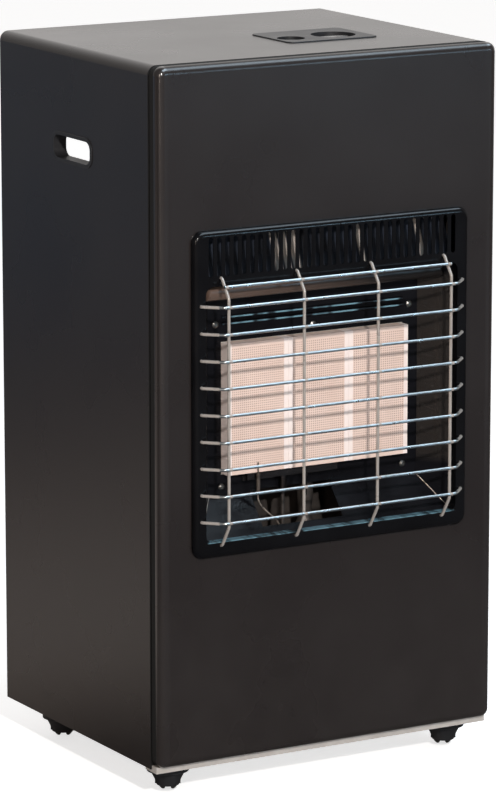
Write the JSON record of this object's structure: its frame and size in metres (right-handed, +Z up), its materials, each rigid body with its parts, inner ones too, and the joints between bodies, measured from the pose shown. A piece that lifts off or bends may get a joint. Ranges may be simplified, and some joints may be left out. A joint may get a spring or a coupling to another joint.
{
  "type": "gas cabinet heater",
  "caption": "Free-standing gas cabinet heater on castors: sheet steel cabinet with a plaque burner behind a wire guard, top controls and a lift-off rear cover.",
  "frame": {"origin": "on the floor, under the middle of the whole heater", "axes": "-Y is the burner side, +X to the right of someone facing the burner, +Z up"},
  "size_m": [0.412, 0.4456, 0.7762],
  "materials": {
    "cabinet_paint": "black powder coat, satin",
    "enamel": "black enamel, semi-gloss",
    "zinc_steel": "zinc plated, satin",
    "stainless": "stainless, satin",
    "guard_plating": "bright plated wire",
    "zinc_screw": "bright zinc",
    "ceramic": "bare porous ceramic",
    "porcelain": "glazed",
    "fibre": "ceramic fibre felt",
    "brass": "machined",
    "alloy_pipe": "drawn tube",
    "black_plastic": "moulded, fine grain",
    "knob_plastic": "moulded, polished",
    "wheel_plastic": "moulded"
  },
  "bodies": {
    "cabinet": {"base_tray": "zinc_steel", "burner_body": "zinc_steel", "burner_hood": "enamel", "burner_screws": "zinc_screw", "cabinet_shell": "cabinet_paint", "castor_plates": "zinc_steel", "ceramic_plaque_1": "ceramic", "ceramic_plaque_2": "ceramic", "ceramic_plaque_3": "ceramic", "control_bezel": "black_plastic", "fascia": "enamel", "front_panel": "cabinet_paint", "gas_pipes": "alloy_pipe", "gas_valve": "brass", "hand_slot_insert_left": "black_plastic", "hand_slot_insert_right": "black_plastic", "heat_shield": "zinc_steel", "hose_nozzle": "brass", "igniter_electrode": "porcelain", "injector_rail": "zinc_steel", "injectors": "brass", "louvre_deflector": "enamel", "mixing_tubes": "zinc_steel", "piezo_igniter": "black_plastic", "pilot_bracket": "stainless", "pilot_burner": "stainless", "pilot_pipe": "alloy_pipe", "plaque_gasket": "fibre", "rail_screws": "zinc_screw", "rear_top_rail": "cabinet_paint", "reflector_pan": "enamel", "thermocouple": "stainless", "top_shield": "zinc_steel", "valve_bracket": "zinc_steel", "wire_guard": "guard_plating"},
    "cover": {"rear_cover": "cabinet_paint"},
    "push_sleeve": {"valve_sleeve": "zinc_steel"},
    "knob": {"control_knob": "knob_plastic", "valve_spindle": "zinc_steel"},
    "button": {"igniter_button": "knob_plastic"},
    "fork_front_left": {"castor_fork_front_left": "black_plastic", "castor_axle_front_left": "stainless"},
    "wheels_front_left": {"castor_wheels_front_left": "wheel_plastic"},
    "fork_front_right": {"castor_fork_front_right": "black_plastic", "castor_axle_front_right": "stainless"},
    "wheels_front_right": {"castor_wheels_front_right": "wheel_plastic"},
    "fork_rear_left": {"castor_fork_rear_left": "black_plastic", "castor_axle_rear_left": "stainless"},
    "wheels_rear_left": {"castor_wheels_rear_left": "wheel_plastic"},
    "fork_rear_right": {"castor_fork_rear_right": "black_plastic", "castor_axle_rear_right": "stainless"},
    "wheels_rear_right": {"castor_wheels_rear_right": "wheel_plastic"}
  },
  "joints": [
    {"name": "cover_lift", "type": "slide", "parent": "cabinet", "child": "cover", "axis": [0, 0, 1], "range_m": [0, 0.014]},
    {"name": "knob_push", "type": "slide", "parent": "cabinet", "child": "push_sleeve", "axis": [0, 0, -1], "range_m": [0, 0.004], "stiffness_N_per_m": 1000},
    {"name": "knob_turn", "type": "hinge", "parent": "push_sleeve", "child": "knob", "pos_m": [0.084, -0.06017, 0.758], "axis": [0, 0, 1], "range_deg": [0, 210]},
    {"name": "igniter_push", "type": "slide", "parent": "cabinet", "child": "button", "axis": [0, 0, -1], "range_m": [0, 0.006], "stiffness_N_per_m": 1500},
    {"name": "swivel_front_left", "type": "hinge", "parent": "cabinet", "child": "fork_front_left", "pos_m": [-0.172, -0.15218, 0.047], "axis": [0, 0, 1], "continuous": true},
    {"name": "roll_front_left", "type": "hinge", "parent": "fork_front_left", "child": "wheels_front_left", "pos_m": [-0.165, -0.14005, 0.017], "axis": [0.866, -0.5, 0], "continuous": true},
    {"name": "swivel_front_right", "type": "hinge", "parent": "cabinet", "child": "fork_front_right", "pos_m": [0.172, -0.15218, 0.047], "axis": [0, 0, 1], "continuous": true},
    {"name": "roll_front_right", "type": "hinge", "parent": "fork_front_right", "child": "wheels_front_right", "pos_m": [0.179, -0.14005, 0.017], "axis": [0.866, -0.5, 0], "continuous": true},
    {"name": "swivel_rear_left", "type": "hinge", "parent": "cabinet", "child": "fork_rear_left", "pos_m": [-0.172, 0.08382, 0.047], "axis": [0, 0, 1], "continuous": true},
    {"name": "roll_rear_left", "type": "hinge", "parent": "fork_rear_left", "child": "wheels_rear_left", "pos_m": [-0.165, 0.09595, 0.017], "axis": [0.866, -0.5, 0], "continuous": true},
    {"name": "swivel_rear_right", "type": "hinge", "parent": "cabinet", "child": "fork_rear_right", "pos_m": [0.172, 0.08382, 0.047], "axis": [0, 0, 1], "continuous": true},
    {"name": "roll_rear_right", "type": "hinge", "parent": "fork_rear_right", "child": "wheels_rear_right", "pos_m": [0.179, 0.09595, 0.017], "axis": [0.866, -0.5, 0], "continuous": true}
  ]
}
